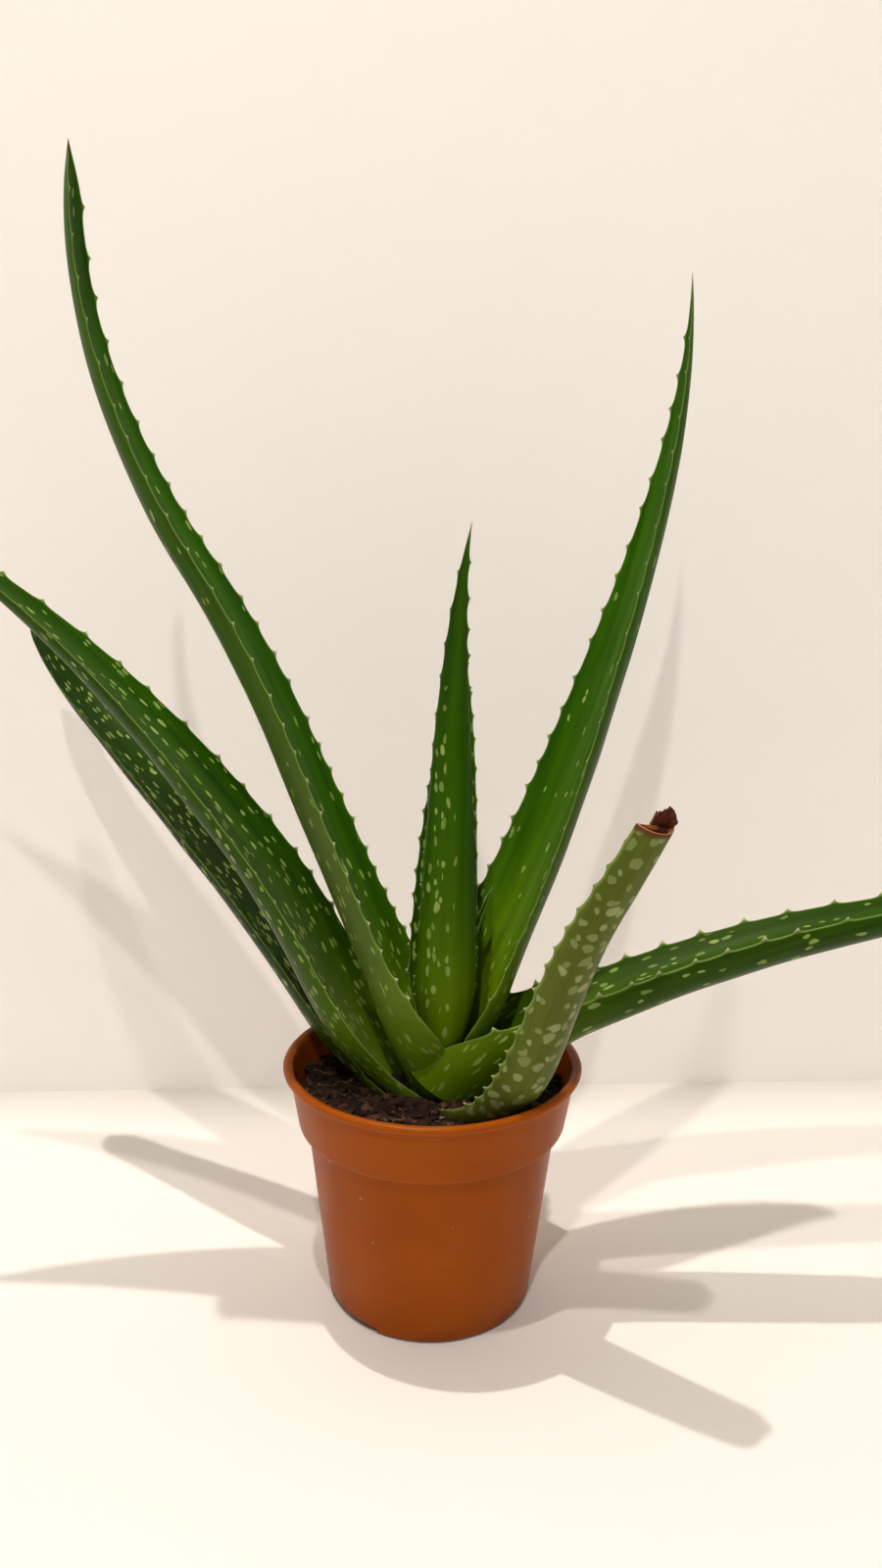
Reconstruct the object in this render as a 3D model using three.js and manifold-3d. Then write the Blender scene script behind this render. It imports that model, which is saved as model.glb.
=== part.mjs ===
// A potted aloe: a thin plastic nursery pot, the potting mix in it, and one plant with a short
// stem and nine channelled leaves whose bases clasp the stem one outside the other.
// Millimetres, +Z up. The origin is the centre of the pot's flat underside.

import * as THREE from 'three';
import { mergeVertices } from 'three/addons/utils/BufferGeometryUtils.js';
import Module from 'manifold-3d';

const wasm = await Module();
wasm.setup();

// Pot
const POT_HEIGHT = 101;
const RIM_RADIUS = 60;
const LIP_HEIGHT = 3.2;
const LIP_OVERHANG = 2.6;
const COLLAR_HEIGHT = 25;
const COLLAR_TAPER = 3.4;
const COLLAR_STEP = 3.8;
const COLLAR_EDGE = 1.2;
const BASE_RADIUS = 42;
const BASE_CORNER = 2.5;
const WALL = 1.4;
const FLOOR = 1.8;
const LIP_CHAMFER = 0.4;
const LIP_UNDERCUT = 60;
const NOTCH_HEIGHT = 3;
const NOTCH_OVERCUT = 1;
const NOTCH_ANGLES = [221, 41];
const NOTCH_SPAN = 38;
const NOTCH_DEPTH = 5;
const DRAIN_HOLES = 6;
const DRAIN_RADIUS = 4;
const DRAIN_CIRCLE = 25;

// Potting mix and the crown pit that holds the plant
const CLEARANCE = 0.3;
const SOIL_BELOW_RIM = 13;
const SOIL_CROWN_RISE = 1.4;
const SOIL_EDGE_DROP = 0.8;
const SOIL_EDGE_WIDTH = 6;
const PIT_DEPTH = 38;
const PIT_MOUTH = 13.5;
const PIT_DISH = 2.5;
const PIT_LIP = 3;
const PIT_LIP_DROP = 0.5;
const STEM_FOOT_RADIUS = 6;
const STEM_FOOT_FLARE = 4;
const STEM_FOOT_RISE = 6;

// The plant stands a little off the pot's centre
const PLANT_X = 3;
const PLANT_Y = -4;

// Leaf bases: each layer is a thin sheath outside the last, and starts lower down
const FIRST_SHEATH_RADIUS = 0.9;
const SHEATH = 2.1;
const SHEATH_GAP = 0.6;
const SHEATH_PITCH = SHEATH + SHEATH_GAP;
const LEDGE_GAP = SHEATH / 2;
const SHEATH_DROP = 2;
const TOP_SHEATH_ABOVE_SOIL = 4;
const CLASP_LENGTH = 26;
const SWELL_LENGTH = 46;

const AROUND = 16;
const ALONG = 26;
const SPINE_STEPS = 4;
const TIP_CORNER = 40;
const TIP_BLEND = 4;

// Each leaf: the layer its base sits in, the compass direction it leans to and how far that
// swings by its tip, its length along the channel, its width across the curved face, how soon
// it narrows (taper), the share of its width that a blunt tip keeps (tip), its thickness, the
// half angles of its channel at the base and further out (clasp, cup), its turn about its own
// length half way and at the tip (roll), and how far it leans from upright at even steps from
// base to tip. cut is the part of the whole leaf that is left.
const LEAVES = [
  { name: 'leaf_bud', layer: 0, toward: 22, swing: 0,
    length: 84, width: 14, taper: 2.2, tip: 0, thick: 3,
    clasp: 80, cup: 45, roll: [0, 0], lean: [4, 8, 13, 17, 20, 22], cut: 1 },
  { name: 'leaf_centre_front', layer: 1, toward: 280, swing: 17,
    length: 225, width: 28, taper: 1.7, tip: 0, thick: 6,
    clasp: 76, cup: 44, roll: [-24, -34], lean: [9, 4, 0, 1, 8, 20], cut: 1 },
  { name: 'leaf_centre_back', layer: 1, toward: 85, swing: 0,
    length: 195, width: 33, taper: 2.4, tip: 0, thick: 6,
    clasp: 76, cup: 50, roll: [-6, 12], lean: [10, 16, 22, 28, 32, 34], cut: 1 },
  { name: 'leaf_tall_right', layer: 2, toward: 39, swing: -10,
    length: 351, width: 45, taper: 2.6, tip: 0, thick: 5.5,
    clasp: 105, cup: 45, roll: [-16, -28], lean: [19, 32, 25, 21, 12, -6], cut: 1 },
  { name: 'leaf_tall_left', layer: 3, toward: 172, swing: 11,
    length: 383, width: 45, taper: 2.8, tip: 0.45, thick: 6.2,
    clasp: 100, cup: 41, roll: [1, -1], lean: [13, 23, 23, 33, 16, -7], cut: 1 },
  { name: 'leaf_low_right', layer: 4, toward: 2, swing: -4,
    length: 290, width: 37, taper: 4, tip: 0, thick: 8,
    clasp: 100, cup: 60, roll: [-5, -10], lean: [34, 65, 71, 77, 75, 71], cut: 1 },
  { name: 'leaf_low_left', layer: 5, toward: 167, swing: 22,
    length: 325, width: 48, taper: 2.2, tip: 0, thick: 7.5,
    clasp: 90, cup: 41, roll: [-6, -5], lean: [41, 27, 38, 43, 50, 44], cut: 1 },
  { name: 'leaf_cut_front', layer: 6, toward: 316, swing: 10,
    length: 316, width: 29, taper: 1.8, tip: 0, thick: 8.2,
    clasp: 74, cup: 46, roll: [4, 4], lean: [64, 30, 19, 22, 30, 26], cut: 0.5 },
  { name: 'leaf_lowest_left', layer: 7, toward: 148, swing: 1,
    length: 285, width: 44, taper: 2.4, tip: 0.5, thick: 7,
    clasp: 76, cup: 45, roll: [-3, 1], lean: [50, 43, 51, 54, 53, 28], cut: 1 },
];

const COLLAR_FOOT = POT_HEIGHT - COLLAR_HEIGHT;
const COLLAR_TOP_RADIUS = RIM_RADIUS - LIP_OVERHANG;
const COLLAR_FOOT_RADIUS = COLLAR_TOP_RADIUS - COLLAR_TAPER;
const WALL_TOP_RADIUS = COLLAR_FOOT_RADIUS - COLLAR_STEP;
const SOIL_LEVEL = POT_HEIGHT - SOIL_BELOW_RIM;
const LAYERS = Math.max(...LEAVES.map((leaf) => leaf.layer)) + 1;
const STEM_RADIUS = sheathRadius(LAYERS);

function radians(degrees) {
  return THREE.MathUtils.degToRad(degrees);
}

function material(colour, roughness) {
  return new THREE.MeshStandardMaterial({ color: colour, roughness, metalness: 0 });
}

function sheathRadius(layer) {
  return FIRST_SHEATH_RADIUS + layer * SHEATH_PITCH;
}

function sheathFoot(layer) {
  return SOIL_LEVEL + TOP_SHEATH_ABOVE_SOIL - layer * SHEATH_DROP;
}

// A body turned about the vertical axis from a list of [radius, height] points.
function turned(points, segments) {
  const profile = points.map(([radius, height]) => new THREE.Vector2(radius, height));
  return new THREE.LatheGeometry(profile, segments).rotateX(Math.PI / 2);
}

// Points of a quarter-round corner between two directions.
function corner(centreRadius, centreHeight, radius, fromDegrees, toDegrees, steps) {
  const points = [];
  for (let step = 0; step <= steps; step += 1) {
    const angle = radians(THREE.MathUtils.lerp(fromDegrees, toDegrees, step / steps));
    points.push([centreRadius + radius * Math.cos(angle), centreHeight + radius * Math.sin(angle)]);
  }
  return points;
}

function toSolid(geometry) {
  const bare = geometry.clone();
  bare.deleteAttribute('normal');
  bare.deleteAttribute('uv');
  const merged = mergeVertices(bare, 1e-4);
  return new wasm.Manifold(new wasm.Mesh({
    numProp: 3,
    vertProperties: new Float32Array(merged.attributes.position.array),
    triVerts: new Uint32Array(merged.index.array),
  }));
}

function toGeometry(solid) {
  const mesh = solid.getMesh();
  const geometry = new THREE.BufferGeometry();
  geometry.setAttribute('position', new THREE.BufferAttribute(mesh.vertProperties, 3));
  geometry.setIndex(new THREE.BufferAttribute(mesh.triVerts, 1));
  return geometry;
}

function potGeometry() {
  const lip = LIP_HEIGHT / 2;
  const outer = [
    [0, 0],
    ...corner(BASE_RADIUS - BASE_CORNER, BASE_CORNER, BASE_CORNER, -90, 0, 4),
    [WALL_TOP_RADIUS, COLLAR_FOOT - COLLAR_EDGE],
    [COLLAR_FOOT_RADIUS, COLLAR_FOOT],
    [COLLAR_TOP_RADIUS, POT_HEIGHT - LIP_HEIGHT],
    ...corner(RIM_RADIUS - lip, POT_HEIGHT - lip, lip, -LIP_UNDERCUT, 90, 6),
  ];
  const inner = [
    [COLLAR_TOP_RADIUS - WALL + LIP_CHAMFER, POT_HEIGHT - LIP_CHAMFER],
    [COLLAR_TOP_RADIUS - WALL, POT_HEIGHT - LIP_HEIGHT],
    [COLLAR_FOOT_RADIUS - WALL, COLLAR_FOOT],
    [WALL_TOP_RADIUS - WALL, COLLAR_FOOT - COLLAR_EDGE],
    [BASE_RADIUS - WALL, BASE_CORNER + FLOOR],
    [BASE_RADIUS - WALL - BASE_CORNER, FLOOR],
    [0, FLOOR],
  ];
  let pot = toSolid(turned([...outer, ...inner], 72));
  for (const angle of NOTCH_ANGLES) {
    pot = pot.subtract(toSolid(notchGeometry(angle)));
  }
  for (let hole = 0; hole < DRAIN_HOLES; hole += 1) {
    const angle = (hole / DRAIN_HOLES) * 2 * Math.PI;
    const drill = new THREE.CylinderGeometry(DRAIN_RADIUS, DRAIN_RADIUS, 4 * FLOOR, 20).rotateX(Math.PI / 2);
    drill.translate(DRAIN_CIRCLE * Math.cos(angle), DRAIN_CIRCLE * Math.sin(angle), FLOOR / 2);
    pot = pot.subtract(toSolid(drill));
  }
  return toGeometry(pot);
}

// A drainage notch: a sector of a ring, cut through the wall and the edge of the floor.
function notchGeometry(angle) {
  const from = radians(angle - NOTCH_SPAN / 2);
  const to = radians(angle + NOTCH_SPAN / 2);
  const sector = new THREE.Shape();
  sector.absarc(0, 0, BASE_RADIUS + NOTCH_DEPTH, from, to, false);
  sector.absarc(0, 0, BASE_RADIUS - NOTCH_DEPTH, to, from, true);
  const block = { depth: NOTCH_HEIGHT + NOTCH_OVERCUT, bevelEnabled: false, curveSegments: 12 };
  return new THREE.ExtrudeGeometry(sector, block).translate(0, 0, -NOTCH_OVERCUT);
}

// The pit that holds the crown, as [radius, height] points from its mouth down to its foot.
function pit(gap) {
  const foot = SOIL_LEVEL - PIT_DEPTH;
  const rim = sheathFoot(LAYERS - 1) - SHEATH_DROP;
  return [
    [STEM_RADIUS + gap, rim],
    [STEM_FOOT_RADIUS + STEM_FOOT_FLARE + gap, foot + STEM_FOOT_RISE],
    [STEM_FOOT_RADIUS + gap, foot - gap],
    [0, foot - gap],
  ];
}

function soilGeometry() {
  const gap = WALL + CLEARANCE;
  const slope = (WALL_TOP_RADIUS - BASE_RADIUS) / (COLLAR_FOOT - COLLAR_EDGE - BASE_CORNER);
  const edge = (SOIL_LEVEL - COLLAR_FOOT) / (COLLAR_HEIGHT - LIP_HEIGHT);
  const surfaceRadius = COLLAR_FOOT_RADIUS + COLLAR_TAPER * edge - gap;
  const mouth = STEM_RADIUS + PIT_MOUTH;
  const stepHeight = COLLAR_FOOT + 2 * CLEARANCE;
  const stepGap = gap + CLEARANCE;
  const body = [
    [0, FLOOR + CLEARANCE],
    [BASE_RADIUS - stepGap - BASE_CORNER, FLOOR + CLEARANCE],
    [BASE_RADIUS - gap + slope, BASE_CORNER + FLOOR + 2 * CLEARANCE],
    [WALL_TOP_RADIUS - stepGap, COLLAR_FOOT - COLLAR_EDGE + CLEARANCE],
    [COLLAR_FOOT_RADIUS - stepGap, stepHeight],
    [surfaceRadius, SOIL_LEVEL - SOIL_EDGE_DROP],
    [surfaceRadius - SOIL_EDGE_WIDTH, SOIL_LEVEL],
    [(surfaceRadius + mouth) / 2, SOIL_LEVEL + SOIL_CROWN_RISE / 2],
    [mouth + PIT_LIP, SOIL_LEVEL - PIT_LIP_DROP],
    [mouth, SOIL_LEVEL - PIT_DISH],
  ];
  const bed = toSolid(turned(body.concat([[0, SOIL_LEVEL - PIT_DISH]]), 48));
  const hollow = toSolid(pitGeometry(CLEARANCE, POT_HEIGHT, mouth));
  return toGeometry(bed.subtract(hollow));
}

// The pit as a plug, up to a chosen height, for cutting the potting mix.
function pitGeometry(gap, top, mouth) {
  const wall = pit(gap).reverse();
  const plug = turned([...wall, [mouth, SOIL_LEVEL - PIT_DISH], [mouth, top], [0, top]], 48);
  return plug.translate(PLANT_X, PLANT_Y, 0);
}

// The short stem: a stub in the mix and, above it, a ledge for the foot of each layer of leaves.
function stemGeometry() {
  const points = pit(0).reverse();
  for (let layer = LAYERS - 1; layer >= 0; layer -= 1) {
    const height = sheathFoot(layer) - LEDGE_GAP;
    points.push([sheathRadius(layer + 1) - LEDGE_GAP, height]);
    points.push([Math.max(sheathRadius(layer) - LEDGE_GAP, 0), height]);
  }
  return turned(points, 40).translate(PLANT_X, PLANT_Y, 0);
}

function stepped(values, t) {
  const place = t * (values.length - 1);
  const index = Math.min(Math.floor(place), values.length - 2);
  return THREE.MathUtils.lerp(values[index], values[index + 1], place - index);
}

// The leaf's own directions at a share t of the whole leaf: along it, outward through its
// back, and across it.
function leafAxes(leaf, t) {
  const lean = radians(stepped(leaf.lean, t / leaf.cut));
  const toward = radians(leaf.toward + leaf.swing * (t / leaf.cut) ** 1.5);
  const level = new THREE.Vector3(Math.cos(toward), Math.sin(toward), 0);
  const up = new THREE.Vector3(0, 0, 1);
  const along = level.clone().multiplyScalar(Math.sin(lean)).addScaledVector(up, Math.cos(lean));
  const back = level.clone().multiplyScalar(Math.cos(lean)).addScaledVector(up, -Math.sin(lean));
  const across = new THREE.Vector3().crossVectors(back, along);
  const roll = radians(stepped([0, ...leaf.roll], t / leaf.cut));
  back.applyAxisAngle(along, roll);
  across.applyAxisAngle(along, roll);
  return { along, back, across };
}

// The channel floor's line, one frame for each row of the leaf.
function leafSpine(leaf) {
  const rows = [];
  const stride = (leaf.length * leaf.cut) / (ALONG * SPINE_STEPS);
  const start = radians(leaf.toward);
  const radius = sheathRadius(leaf.layer) + CLEARANCE;
  const level = new THREE.Vector2(PLANT_X + radius * Math.cos(start), PLANT_Y + radius * Math.sin(start));
  const point = new THREE.Vector3(level.x, level.y, sheathFoot(leaf.layer));
  for (let row = 0; row <= ALONG; row += 1) {
    rows.push({ t: (row / ALONG) * leaf.cut, point: point.clone() });
    for (let step = 0; step < SPINE_STEPS && row < ALONG; step += 1) {
      const t = ((row * SPINE_STEPS + step + 0.5) / (ALONG * SPINE_STEPS)) * leaf.cut;
      point.addScaledVector(leafAxes(leaf, t).along, stride);
    }
  }
  return rows;
}

// The section of a leaf at a share t of its length: a channel of radius channel and half angle
// half, and the thickness of flesh behind it.
function leafSection(leaf, t) {
  const distance = t * leaf.length;
  const base = sheathRadius(leaf.layer) + CLEARANCE;
  const grown = THREE.MathUtils.smoothstep(distance, 0, SWELL_LENGTH);
  const half = radians(leaf.cup + (leaf.clasp - leaf.cup) * Math.exp(-distance / CLASP_LENGTH));
  const slim = 1 - t ** leaf.taper;
  const blunt = leaf.tip * (1 - t ** TIP_CORNER);
  const blade = leaf.width * (slim ** TIP_BLEND + blunt ** TIP_BLEND) ** (1 / TIP_BLEND);
  const width = THREE.MathUtils.lerp(2 * half * base, blade, grown);
  const flesh = THREE.MathUtils.lerp(SHEATH, leaf.thick * (1 - t ** 2), grown);
  return { channel: width / (2 * half), half, flesh };
}

// A leaf is a cone bent along its spine. Each ring becomes a crescent: the channel on one side
// and the rounded back on the other. The foot closes to an edge, and the cone's point closes
// the tip or the cut.
function leafGeometry(leaf) {
  const rows = leaf.cut < 1 ? ALONG + 1 : ALONG;
  const cone = new THREE.ConeGeometry(1, 1, AROUND, rows, true);
  const spine = leafSpine(leaf);
  const { position, uv } = cone.attributes;
  for (let index = 0; index < position.count; index += 1) {
    const row = Math.round(uv.getY(index) * rows);
    const angle = uv.getX(index) * 2 * Math.PI;
    const atPoint = row === rows;
    const { t, point } = spine[Math.min(row, ALONG)];
    const { back, across } = leafAxes(leaf, t);
    const { channel, half, flesh } = leafSection(leaf, t);
    const place = atPoint ? 0 : Math.cos(angle) * half;
    let depth = Math.max(Math.sin(angle), 0) * flesh;
    if (atPoint || row === 0) {
      depth = (flesh / 2) * (atPoint ? 1 : Math.abs(Math.sin(angle)));
    }
    const radius = channel + depth;
    const spot = point.clone().addScaledVector(back, radius * Math.cos(place) - channel);
    spot.addScaledVector(across, radius * Math.sin(place));
    position.setXYZ(index, spot.x, spot.y, spot.z);
  }
  cone.deleteAttribute('normal');
  cone.deleteAttribute('uv');
  return mergeVertices(cone, 1e-4);
}

function named(name, geometry, meshMaterial) {
  const mesh = new THREE.Mesh(geometry, meshMaterial);
  mesh.name = name;
  return mesh;
}

const plastic = material(0x8c420a, 0.4);
const pottingMix = material(0x2a1c12, 0.95);
const stemSkin = material(0x9aa03c, 0.6);
const leafSkin = material(0x3a6616, 0.5);
const cutLeafSkin = material(0x5f6f2f, 0.55);

const plant = new THREE.Group();
plant.add(named('stem', stemGeometry(), stemSkin));
for (const leaf of LEAVES) {
  plant.add(named(leaf.name, leafGeometry(leaf), leaf.cut < 1 ? cutLeafSkin : leafSkin));
}

const pottedAloe = new THREE.Group();
pottedAloe.add(named('pot', potGeometry(), plastic));
pottedAloe.add(named('potting_mix', soilGeometry(), pottingMix));
pottedAloe.add(plant);

export default pottedAloe;
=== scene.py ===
import math
import random

import bmesh
import bpy
import numpy as np
from mathutils import Matrix, Vector, noise


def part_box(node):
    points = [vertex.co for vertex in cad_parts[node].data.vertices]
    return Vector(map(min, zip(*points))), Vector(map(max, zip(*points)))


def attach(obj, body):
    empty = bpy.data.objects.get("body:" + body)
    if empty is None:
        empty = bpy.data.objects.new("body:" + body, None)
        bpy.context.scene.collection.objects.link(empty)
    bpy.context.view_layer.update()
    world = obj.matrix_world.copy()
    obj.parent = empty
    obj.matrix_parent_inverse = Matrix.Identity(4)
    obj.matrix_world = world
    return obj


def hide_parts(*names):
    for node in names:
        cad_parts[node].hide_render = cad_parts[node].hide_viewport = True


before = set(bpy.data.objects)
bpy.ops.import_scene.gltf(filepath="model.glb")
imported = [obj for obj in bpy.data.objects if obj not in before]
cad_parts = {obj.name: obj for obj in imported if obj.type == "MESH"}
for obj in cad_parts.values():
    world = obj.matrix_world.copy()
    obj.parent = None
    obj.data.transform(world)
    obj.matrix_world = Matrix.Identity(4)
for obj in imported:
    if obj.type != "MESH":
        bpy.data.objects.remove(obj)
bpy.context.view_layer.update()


# ---------------------------------------------------------------- the pot
# A thin nursery pot, injection moulded in satin orange-brown polypropylene. It has a small
# rolled lip, a deep collar with a step under it, tapered walls, two drainage notches in its
# foot and six holes in its floor.
MM = 0.001
pot_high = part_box("pot")[1]
pot_height = pot_high.z
lip_radius = pot_high.x
lip_half = 1.6 * MM
collar_depth = 25 * MM
collar_taper = 3.4 * MM
collar_top_radius = lip_radius - 2.6 * MM
collar_foot = pot_height - collar_depth
collar_foot_radius = collar_top_radius - collar_taper
wall_top_radius = collar_foot_radius - 3.8 * MM
foot_radius = 42 * MM
foot_corner = 2.5 * MM
pot_wall = 1.4 * MM
pot_floor = 1.8 * MM
pot_turns = 180


def arc_points(centre_radius, centre_height, radius, first, last, steps):
    """Points of a rounded corner as (radius, height), with its angles in degrees."""
    points = []
    for step in range(steps + 1):
        turn = math.radians(first + (last - first) * step / steps)
        out, rise = radius * math.cos(turn), radius * math.sin(turn)
        points.append((centre_radius + out, centre_height + rise))
    return points


def straight_points(start, end, steps):
    """Evenly spaced (radius, height) points after start and up to end."""
    shares = [step / steps for step in range(1, steps + 1)]
    return [tuple(a + (b - a) * share for a, b in zip(start, end)) for share in shares]


def turned(profile, steps):
    """A bmesh spun about the pot's axis from (radius, height) points."""
    body = bmesh.new()
    points = [body.verts.new((radius, 0, height)) for radius, height in profile]
    lines = [body.edges.new(pair) for pair in zip(points, points[1:])]
    bmesh.ops.spin(body, geom=points + lines, cent=(0, 0, 0), axis=(0, 0, 1), dvec=(0, 0, 0),
                   angle=2 * math.pi, steps=steps, use_merge=True)
    bmesh.ops.remove_doubles(body, verts=body.verts, dist=0.0000005)
    bmesh.ops.recalc_face_normals(body, faces=body.faces)
    return body


def finished(name, body, smooth=True):
    """The bmesh as an object of that name, in the collection, with smooth faces."""
    mesh = bpy.data.meshes.new(name)
    body.to_mesh(mesh)
    body.free()
    mesh.polygons.foreach_set("use_smooth", [smooth] * len(mesh.polygons))
    piece = bpy.data.objects.new(name, mesh)
    bpy.context.collection.objects.link(piece)
    return piece


def applied(piece):
    """The piece with its modifiers worked into its mesh."""
    bpy.context.view_layer.update()
    seen = piece.evaluated_get(bpy.context.evaluated_depsgraph_get())
    mesh = bpy.data.meshes.new_from_object(seen)
    piece.modifiers.clear()
    piece.data = mesh
    return piece


pot_outside = [(0, 0.9 * MM), (29 * MM, 0.9 * MM), (30 * MM, 0.6 * MM), (31 * MM, 0)]
pot_outside += straight_points((31 * MM, 0), (foot_radius - foot_corner, 0), 3)
pot_outside += arc_points(foot_radius - foot_corner, foot_corner, foot_corner, -80, 0, 7)
pot_outside += straight_points(pot_outside[-1], (wall_top_radius, collar_foot - 2.4 * MM), 26)
pot_outside += [
    (wall_top_radius + 0.15 * MM, collar_foot - 1.6 * MM),
    (wall_top_radius + 0.7 * MM, collar_foot - 1.15 * MM),
    (collar_foot_radius - 0.9 * MM, collar_foot - 0.55 * MM),
    (collar_foot_radius - 0.25 * MM, collar_foot - 0.25 * MM),
    (collar_foot_radius + 0.02 * MM, collar_foot + 0.5 * MM),
]
pot_outside += straight_points(pot_outside[-1], (collar_top_radius, pot_height - 4.2 * MM), 12)
pot_outside += [(collar_top_radius + 0.25 * MM, pot_height - 3.4 * MM)]
pot_outside += arc_points(lip_radius - lip_half, pot_height - lip_half, lip_half, -75, 100, 10)
pot_inside = [
    (collar_top_radius - pot_wall + 0.5 * MM, pot_height - 0.5 * MM),
    (collar_top_radius - pot_wall, pot_height - 1.5 * MM),
]
pot_inside += straight_points(pot_inside[-1], (collar_foot_radius - pot_wall, collar_foot), 6)
pot_inside += [(wall_top_radius - pot_wall, collar_foot - 1.2 * MM)]
pot_inside += straight_points(pot_inside[-1], (foot_radius - pot_wall, foot_corner + pot_floor), 6)
pot_inside += [(foot_radius - pot_wall - foot_corner, pot_floor), (0, pot_floor)]
pot_body = turned(pot_outside + pot_inside, pot_turns)

# The thin wall has relaxed out of round after moulding, most of all at its rim.
for point in pot_body.verts:
    out = math.hypot(point.co.x, point.co.y)
    if out > foot_radius * 0.5:
        turn = math.atan2(point.co.y, point.co.x)
        rise = point.co.z / pot_height
        warp = 0.28 * math.sin(2 * turn + 0.6) + 0.12 * math.sin(3 * turn + 2.2)
        warp += 0.05 * math.sin(9 * turn + 3 * rise) + 0.03 * math.sin(23 * turn + 9 * rise)
        grow = 1 + warp * MM * rise ** 2 / out
        point.co.x *= grow
        point.co.y *= grow
pot = finished("nursery_pot", pot_body)

notch_height = 3 * MM
notch_reach = 5 * MM
notch_turns = (221, 41)
notch_half_width = foot_radius * math.tan(math.radians(19))
hole_count = 6
hole_radius = 4 * MM
hole_ring = 25 * MM
pot_cuts = bmesh.new()
for notch_turn in notch_turns:
    blade = bmesh.ops.create_cube(pot_cuts, size=1)["verts"]
    notch_box = (2 * notch_reach, 2 * notch_half_width, 2 * notch_height)
    bmesh.ops.scale(pot_cuts, verts=blade, vec=notch_box)
    bmesh.ops.translate(pot_cuts, verts=blade, vec=(foot_radius * 0.99, 0, 0))
    bmesh.ops.rotate(pot_cuts, verts=blade, cent=(0, 0, 0),
                     matrix=Matrix.Rotation(math.radians(notch_turn), 3, "Z"))
for hole in range(hole_count):
    drill = bmesh.ops.create_cone(pot_cuts, segments=28, radius1=hole_radius, radius2=hole_radius,
                                  depth=5 * pot_floor, cap_ends=True)["verts"]
    turn = math.tau * hole / hole_count
    hole_place = (hole_ring * math.cos(turn), hole_ring * math.sin(turn), 0)
    bmesh.ops.translate(pot_cuts, verts=drill, vec=hole_place)
pot_cutter = finished("pot_cutter", pot_cuts)
cut = pot.modifiers.new("drainage", "BOOLEAN")
cut.object = pot_cutter
cut.operation = "DIFFERENCE"
cut.solver = "EXACT"
applied(pot)
bpy.data.objects.remove(pot_cutter)
pot.data.shade_smooth()
pot.data.set_sharp_from_angle(angle=math.radians(50))


def paint(name):
    """A new material of that name, with its tree and its surface shader."""
    finish = bpy.data.materials.new(name)
    finish.use_nodes = True
    tree = finish.node_tree
    return finish, tree, tree.nodes["Principled BSDF"]


def wire(tree, kind, plugs=None, **settings):
    """A node of that kind. plugs fills its inputs with values or with other nodes' outputs."""
    made = tree.nodes.new("ShaderNode" + kind)
    for key, value in settings.items():
        setattr(made, key, value)
    for key, value in (plugs or {}).items():
        if isinstance(value, bpy.types.NodeSocket):
            tree.links.new(value, made.inputs[key])
        else:
            made.inputs[key].default_value = value
    return made


def sums(tree, operation, *values, clamp=False):
    """The output of a Math node."""
    made = wire(tree, "Math", dict(enumerate(values)), operation=operation, use_clamp=clamp)
    return made.outputs[0]


def times(tree, first, second, clamp=False):
    """The product of two values."""
    return sums(tree, "MULTIPLY", first, second, clamp=clamp)


def plus(tree, first, second, clamp=False):
    """Two values added."""
    return sums(tree, "ADD", first, second, clamp=clamp)


def height_on(tree, place):
    """The height part of a place."""
    return wire(tree, "SeparateXYZ", {"Vector": place}).outputs["Z"]


def object_place(tree):
    """Where a point of the piece is, in metres."""
    return wire(tree, "TexCoord").outputs["Object"]


def roughened(tree, skin, relief, distance, strength):
    """Relief in the surface, from a height value."""
    bump = wire(tree, "Bump", {"Height": relief, "Distance": distance, "Strength": strength})
    tree.links.new(bump.outputs[0], skin.inputs["Normal"])


def between(tree, value, low, high, out_low=0.0, out_high=1.0):
    """value eased from low..high to out_low..out_high."""
    made = wire(tree, "MapRange", {"Value": value, "From Min": low, "From Max": high,
                                   "To Min": out_low, "To Max": out_high},
                interpolation_type="SMOOTHSTEP")
    return made.outputs["Result"]


def blended(tree, share, first, second, how="MIX"):
    """Two colours blended by a share of the second."""
    made = wire(tree, "Mix", None, data_type="RGBA", blend_type=how)
    for key, value in (("Factor", share), ("A", first), ("B", second)):
        socket = next(s for s in made.inputs if s.name == key and s.enabled)
        if isinstance(value, bpy.types.NodeSocket):
            tree.links.new(value, socket)
        else:
            socket.default_value = value if key == "Factor" else (*value, 1)
    return next(s for s in made.outputs if s.enabled)


def stretched(tree, place, scale, turn=(0, 0, 0)):
    """The place vector scaled and turned, for a pattern that is longer one way."""
    return wire(tree, "Mapping", {"Vector": place, "Scale": scale, "Rotation": turn}).outputs[0]


def grainy(tree, place, scale, detail=3.0, roughness=0.55, distortion=0.0):
    """A noise value from 0 to 1 at that scale."""
    return wire(tree, "TexNoise", {"Vector": place, "Scale": scale, "Detail": detail,
                                   "Roughness": roughness, "Distortion": distortion}).outputs[0]


plastic, tree, skin = paint("pot_plastic_satin")
at = object_place(tree)
clouds = grainy(tree, at, 22, 4)
fine = grainy(tree, at, 900, 2)
height = height_on(tree, at)
orange_deep = (0.31, 0.060, 0.0006)
orange_light = (0.36, 0.073, 0.0016)
plastic_colour = blended(tree, between(tree, clouds, 0.3, 0.7), orange_deep, orange_light)
plastic_colour = blended(tree, times(tree, fine, 0.22), plastic_colour, (0.20, 0.042, 0.006))
scuff_lines = grainy(tree, stretched(tree, at, (60, 60, 900), (0.5, 0.25, 0)), 1, 2, 0.5, 1.2)
scuff_spread = grainy(tree, at, 35, 2)
scuffs = times(tree, between(tree, scuff_lines, 0.66, 0.74),
               between(tree, scuff_spread, 0.5, 0.62))
plastic_colour = blended(tree, times(tree, scuffs, 0.45), plastic_colour, (0.46, 0.19, 0.08))
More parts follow.
